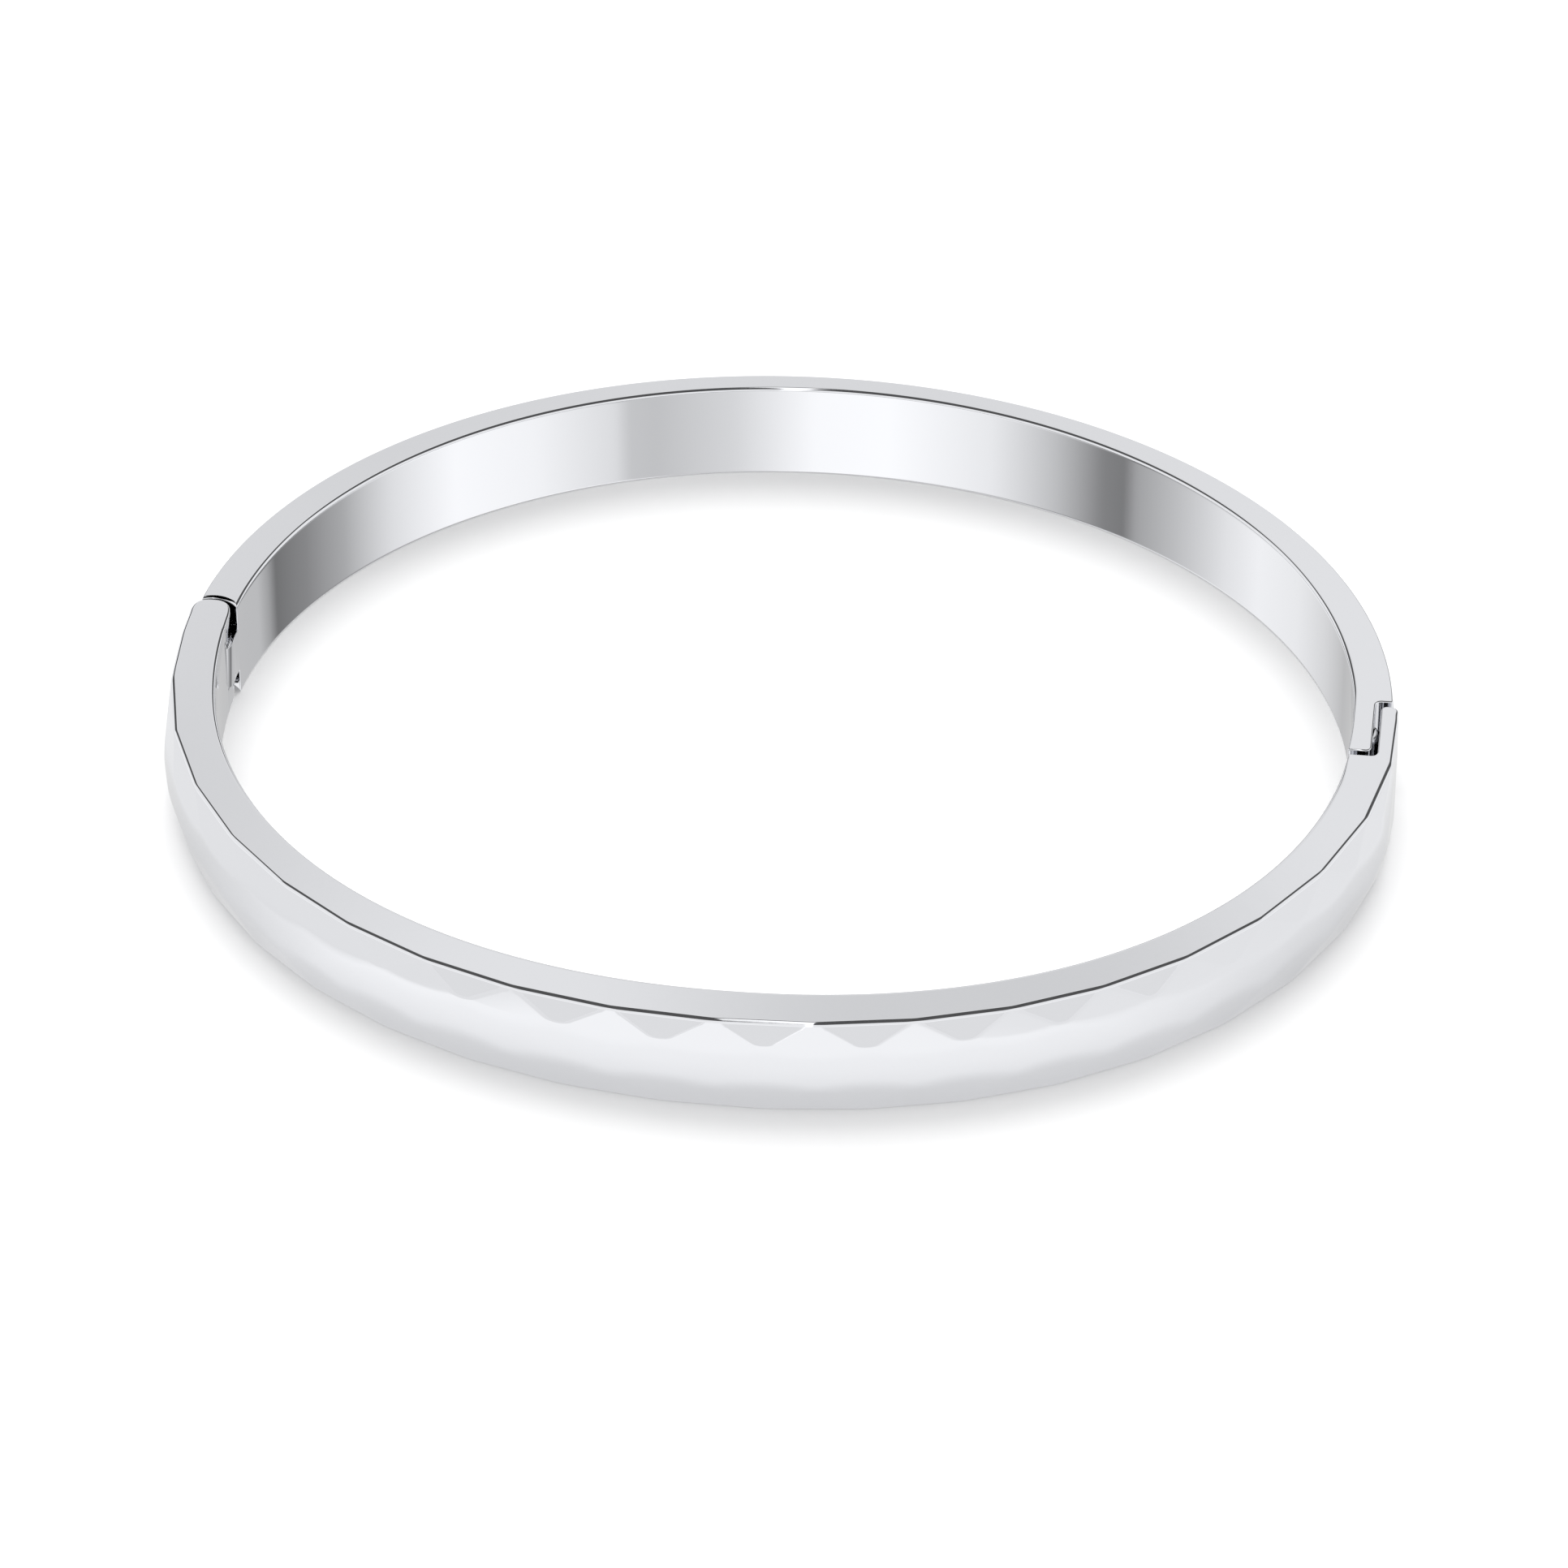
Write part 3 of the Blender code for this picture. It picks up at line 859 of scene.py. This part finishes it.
def add_camera(middle):
    back = Vector((math.sin(CAMERA_AZIMUTH) * math.cos(CAMERA_ELEVATION),
                   -math.cos(CAMERA_AZIMUTH) * math.cos(CAMERA_ELEVATION),
                   math.sin(CAMERA_ELEVATION)))
    right = Vector((math.cos(CAMERA_AZIMUTH), math.sin(CAMERA_AZIMUTH), 0.0))
    up = back.cross(right)
    camera = bpy.data.objects.new("camera", bpy.data.cameras.new("camera"))
    bpy.context.scene.collection.objects.link(camera)
    camera.location = middle + back * CAMERA_DISTANCE - up * AIM_BELOW + right * AIM_RIGHT
    camera.rotation_euler = back.to_track_quat("Z", "Y").to_euler()
    camera.data.lens = CAMERA_LENS
    camera.data.sensor_width = 36
    camera.data.clip_start = 0.01
    bpy.context.scene.camera = camera


def add_floor(material):
    """A white table. The patch inside the bangle isn't seen in reflections, so that the inner
    walls mirror the studio's lower bands instead of it."""
    seam = oval_points(np.linspace(0, 2 * math.pi, FLOOR_SEAM_POINTS + 1)[:-1], FLOOR_SEAM)
    patch = bmesh.new()
    patch.faces.new([patch.verts.new((x, y, 0.0)) for x, y in seam])
    table = bmesh.new()
    inner = [table.verts.new((x, y, 0.0)) for x, y in seam]
    spread = FLOOR_SIZE / (2 * FLOOR_SEAM[0])
    far = [table.verts.new((x * spread, y * spread, 0.0)) for x, y in seam]
    for step in range(len(seam)):
        after = (step + 1) % len(seam)
        table.faces.new((inner[step], inner[after], far[after], far[step]))
    for name, bm, mirrored in (("floor_patch", patch, False), ("floor", table, True)):
        bmesh.ops.recalc_face_normals(bm, faces=bm.faces)
        mesh = bpy.data.meshes.new(name)
        bm.to_mesh(mesh)
        bm.free()
        mesh.materials.append(material)
        floor = bpy.data.objects.new(name, mesh)
        bpy.context.scene.collection.objects.link(floor)
        floor.visible_glossy = mirrored


# The even light that everything but a mirrored ray sees.
SKY_LIGHT = 1.05

# Brightness of the studio against height above the table, from 0 to 90 degrees.
UPPER_BANDS = [(0, 1.0), (5, 1.0), (8, 1.5), (11, 1.5), (17, 0.12), (90, 0.1)]

# Brightness below table height, mirrored by the inner walls, against the compass direction.
# These stops are not a plain studio. They come from brightness readings of the inner walls in
# the photograph, each traced to the direction it mirrors, then thinned and rounded.
LOWER_BANDS = [
    (-180, 1.05), (-166, 0.73), (-155, 0.50), (-152, 0.27), (-147, 0.31), (-137, 0.71),
    (-124, 1.13), (-105, 1.37), (-92, 1.33), (-78, 0.93), (-64, 0.74), (-59, 0.77), (-56, 1.0),
    (-40, 1.25), (-22, 1.33), (-5, 1.0), (10, 0.54), (24, 0.33), (38, 0.23), (42, 0.47),
    (48, 0.66), (100, 0.62), (118, 0.61), (135, 0.87), (152, 1.1), (169, 1.2), (180, 1.05)]

# The panel behind the bangle that its rims mirror: compass direction and height.
PANEL_SHADE = 0.95
PANEL_CLOUDS = 0.2
PANEL_CLOUD_SCALE = 16
PANEL_CLOUD_RANGE = (0.3, 0.7)
PANEL_AZIMUTH = (84, 109)
PANEL_ELEVATION = (-5, 52)
PANEL_SOFT = 4

# The broad pale wall to the front and sides, open to the rear, and a narrow strip light overhead.
WALL_SHADE = 1.1
WALL_OPENING = (44, 138)
WALL_ELEVATION = (12, 46)
STRIP_SHADE = 1.5
STRIP_SIDEWAYS = (0.998, 0.050, 0.033)
STRIP_HALF_WIDTH = 0.022
STRIP_SOFT = 0.015
STRIP_FRONT = 0.35


def add_studio():
    """An even sky lights the table. Mirrored rays see a drawn surround instead."""
    world = bpy.data.worlds.new("studio")
    bpy.context.scene.world = world
    world.use_nodes = True
    tree = world.node_tree
    nodes, links = tree.nodes, tree.links
    background = nodes["Background"]
    place = nodes.new("ShaderNodeTexCoord")
    split = nodes.new("ShaderNodeSeparateXYZ")
    links.new(place.outputs["Generated"], split.inputs["Vector"])

    azimuth = math_node(tree, "ARCTAN2", split.outputs["Y"], split.outputs["X"])
    compass = math_node(tree, "MULTIPLY_ADD", azimuth, 1 / (2 * math.pi))
    compass.node.inputs[2].default_value = 0.5
    lift = math_node(tree, "ARCSINE", split.outputs["Z"])
    lift = math_node(tree, "MULTIPLY", lift, 2 / math.pi)

    upper = ramp_node(nodes, [(degrees / 90, value) for degrees, value in UPPER_BANDS])
    links.new(lift, upper.inputs["Fac"])
    lower = ramp_node(nodes, [((degrees + 180) / 360, value) for degrees, value in LOWER_BANDS])
    links.new(compass, lower.inputs["Fac"])

    def window(value, low, high):
        """1 inside the range, falling to 0 just outside it."""
        sides = []
        for edge, outside in ((low, low - PANEL_SOFT), (high, high + PANEL_SOFT)):
            side = nodes.new("ShaderNodeMapRange")
            side.interpolation_type = "SMOOTHSTEP"
            side.inputs["From Min"].default_value = math.radians(outside)
            side.inputs["From Max"].default_value = math.radians(edge)
            links.new(value, side.inputs["Value"])
            sides.append(side.outputs["Result"])
        return math_node(tree, "MULTIPLY", *sides)

    height = math_node(tree, "ARCSINE", split.outputs["Z"])
    inside = math_node(tree, "MULTIPLY", window(azimuth, *PANEL_AZIMUTH),
                       window(height, *PANEL_ELEVATION))
    clouds = nodes.new("ShaderNodeTexNoise")
    clouds.inputs["Scale"].default_value = PANEL_CLOUD_SCALE
    clouds.inputs["Detail"].default_value = 0
    links.new(place.outputs["Generated"], clouds.inputs["Vector"])
    panel = nodes.new("ShaderNodeMapRange")
    panel.inputs["From Min"].default_value = PANEL_CLOUD_RANGE[0]
    panel.inputs["From Max"].default_value = PANEL_CLOUD_RANGE[1]
    panel.inputs["To Min"].default_value = PANEL_SHADE - PANEL_CLOUDS / 2
    panel.inputs["To Max"].default_value = PANEL_SHADE + PANEL_CLOUDS / 2
    links.new(clouds.outputs["Fac"], panel.inputs["Value"])

    def laid_over(below, share, shade):
        """One part of the studio in front of another."""
        mix = nodes.new("ShaderNodeMix")
        mix.data_type = "RGBA"
        links.new(share, mix.inputs["Factor"])
        links.new(below, mix.inputs["A"])
        if isinstance(shade, float):
            mix.inputs["B"].default_value = (shade, shade, shade, 1.0)
        else:
            links.new(shade, mix.inputs["B"])
        return mix.outputs["Result"]

    walled = math_node(tree, "SUBTRACT", 1.0, window(azimuth, *WALL_OPENING))
    wall = math_node(tree, "MULTIPLY", walled, window(height, *WALL_ELEVATION))
    sideways = nodes.new("ShaderNodeVectorMath")
    sideways.operation = "DOT_PRODUCT"
    sideways.inputs[1].default_value = STRIP_SIDEWAYS
    links.new(place.outputs["Generated"], sideways.inputs[0])
    offset = math_node(tree, "ABSOLUTE", sideways.outputs["Value"])
    strip = nodes.new("ShaderNodeMapRange")
    strip.interpolation_type = "SMOOTHSTEP"
    strip.inputs["From Min"].default_value = STRIP_HALF_WIDTH + STRIP_SOFT
    strip.inputs["From Max"].default_value = STRIP_HALF_WIDTH
    links.new(offset, strip.inputs["Value"])
    ahead = math_node(tree, "LESS_THAN", split.outputs["Y"], STRIP_FRONT)
    strip_share = math_node(tree, "MULTIPLY", strip.outputs["Result"], ahead)
    above = laid_over(upper.outputs["Color"], inside, panel.outputs["Result"])
    above = laid_over(above, wall, WALL_SHADE)
    above = laid_over(above, strip_share, STRIP_SHADE)

    whole = nodes.new("ShaderNodeMix")
    whole.data_type = "RGBA"
    links.new(math_node(tree, "GREATER_THAN", split.outputs["Z"], 0.0), whole.inputs["Factor"])
    links.new(lower.outputs["Color"], whole.inputs["A"])
    links.new(above, whole.inputs["B"])

    ray = nodes.new("ShaderNodeLightPath")
    seen = nodes.new("ShaderNodeMix")
    seen.data_type = "RGBA"
    seen.inputs["A"].default_value = (SKY_LIGHT, SKY_LIGHT, SKY_LIGHT, 1.0)
    links.new(ray.outputs["Is Glossy Ray"], seen.inputs["Factor"])
    links.new(whole.outputs["Result"], seen.inputs["B"])
    links.new(seen.outputs["Result"], background.inputs["Color"])


SOFT_LAMP = 1.9
SOFT_LAMP_SIZE = math.radians(60)
SOFT_LAMP_AZIMUTH = math.radians(100)
SOFT_LAMP_ELEVATION = math.radians(55)


def add_lamp():
    """A large soft lamp behind the bangle, which draws its shadows towards the camera."""
    lamp = bpy.data.objects.new("soft_lamp", bpy.data.lights.new("soft_lamp", "SUN"))
    bpy.context.scene.collection.objects.link(lamp)
    lamp.data.energy = SOFT_LAMP
    lamp.data.angle = SOFT_LAMP_SIZE
    towards = Vector((math.cos(SOFT_LAMP_AZIMUTH) * math.cos(SOFT_LAMP_ELEVATION),
                      math.sin(SOFT_LAMP_AZIMUTH) * math.cos(SOFT_LAMP_ELEVATION),
                      math.sin(SOFT_LAMP_ELEVATION)))
    lamp.rotation_euler = towards.to_track_quat("Z", "Y").to_euler()
    lamp.visible_glossy = False


def main():
    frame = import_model()
    scene = bpy.context.scene
    scene.view_settings.view_transform = "Standard"
    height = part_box("front_half")[1].z
    pin = np.array(frame["joints"][0]["pos_m"][:2])

    add_camera(Vector((0.0, 0.0, height / 2)))
    steel = polished_steel("polished_steel", STEEL_COLOUR, STEEL_ROUGHNESS)
    pin_steel = polished_steel("pin_steel", PIN_COLOUR, PIN_ROUGHNESS)

    front = front_half(height, pin)
    rear = rear_half(height, pin)
    bar = snap_bar(height)
    for piece, body, node, slot, material in (
            (front, "front", "front_half", "band_steel", steel),
            (rear, "rear", "rear_half", "band_steel", steel),
            (bar, "rear", "snap_bar", "pin_steel", pin_steel)):
        piece.data.materials.append(material)
        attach(piece, body)
        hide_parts(node)
    frame["nodes"]["hinge_pin"].data.materials.clear()
    frame["nodes"]["hinge_pin"].data.materials.append(pin_steel)

    add_floor(table_white_with_painted_glow())
    add_studio()
    add_lamp()


main()
